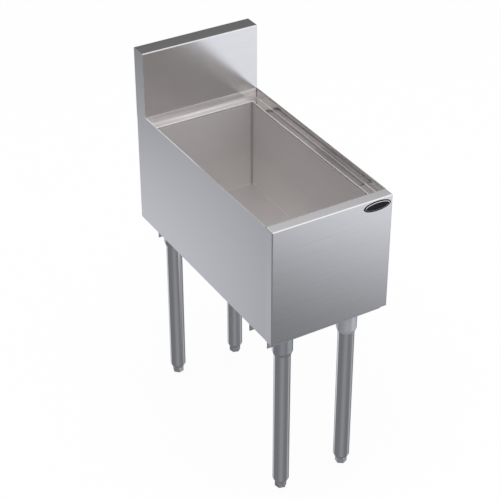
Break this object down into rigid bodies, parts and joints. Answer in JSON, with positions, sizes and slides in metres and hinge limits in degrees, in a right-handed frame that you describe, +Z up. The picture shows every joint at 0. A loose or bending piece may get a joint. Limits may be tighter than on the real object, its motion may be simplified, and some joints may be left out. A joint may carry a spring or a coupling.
{
  "type": "underbar ice bin",
  "caption": "Narrow, deep insulated stainless ice bin, open at the top, with a raised backsplash, tubular legs and screw-adjustable hexagonal feet.",
  "frame": {"origin": "on the floor under the middle of the bin's footprint", "axes": "+Z up, -Y towards the user at the front, +X to the right seen from the front"},
  "size_m": [0.3048, 0.6192, 0.9411],
  "materials": {
    "shell_steel": "brushed stainless sheet",
    "liner_steel": "brushed stainless sheet, welded and blended",
    "channel_steel": "plain folded stainless",
    "socket_steel": "satin cast stainless",
    "leg_steel": "polished stainless tube",
    "insert_steel": "turned stainless",
    "foot_steel": "hexagonal stainless bar",
    "stem_steel": "threaded rod",
    "screw_steel": "plain stainless",
    "insulation_foam": "closed-cell foam",
    "drain_metal": "bright plated",
    "drain_gasket_rubber": "black sheet rubber",
    "badge_black": "gloss black"
  },
  "bodies": {
    "bin": {"front_panel": "shell_steel", "left_panel": "shell_steel", "right_panel": "shell_steel", "back_panel": "shell_steel", "backsplash": "shell_steel", "bottom_pan": "shell_steel", "liner": "liner_steel", "front_leg_channel": "channel_steel", "rear_leg_channel": "channel_steel", "leg_socket_front_left": "socket_steel", "leg_socket_front_right": "socket_steel", "leg_socket_rear_left": "socket_steel", "leg_socket_rear_right": "socket_steel", "leg_tube_front_left": "leg_steel", "leg_tube_front_right": "leg_steel", "leg_tube_rear_left": "leg_steel", "leg_tube_rear_right": "leg_steel", "leg_insert_front_left": "insert_steel", "leg_insert_front_right": "insert_steel", "leg_insert_rear_left": "insert_steel", "leg_insert_rear_right": "insert_steel", "socket_screws": "screw_steel", "set_screws": "screw_steel", "insulation": "insulation_foam", "drain_body": "drain_metal", "drain_locknut": "drain_metal", "drain_strainer": "drain_metal", "drain_gasket": "drain_gasket_rubber", "badge": "badge_black"},
    "foot_front_left": {"foot_front_left": "foot_steel", "foot_stem_front_left": "stem_steel"},
    "foot_front_right": {"foot_front_right": "foot_steel", "foot_stem_front_right": "stem_steel"},
    "foot_rear_left": {"foot_rear_left": "foot_steel", "foot_stem_rear_left": "stem_steel"},
    "foot_rear_right": {"foot_rear_right": "foot_steel", "foot_stem_rear_right": "stem_steel"}
  },
  "joints": [
    {"name": "foot_front_left_height", "type": "slide", "parent": "bin", "child": "foot_front_left", "axis": [0, 0, -1], "range_m": [0, 0.025]},
    {"name": "foot_front_right_height", "type": "slide", "parent": "bin", "child": "foot_front_right", "axis": [0, 0, -1], "range_m": [0, 0.025]},
    {"name": "foot_rear_left_height", "type": "slide", "parent": "bin", "child": "foot_rear_left", "axis": [0, 0, -1], "range_m": [0, 0.025]},
    {"name": "foot_rear_right_height", "type": "slide", "parent": "bin", "child": "foot_rear_right", "axis": [0, 0, -1], "range_m": [0, 0.025]}
  ]
}
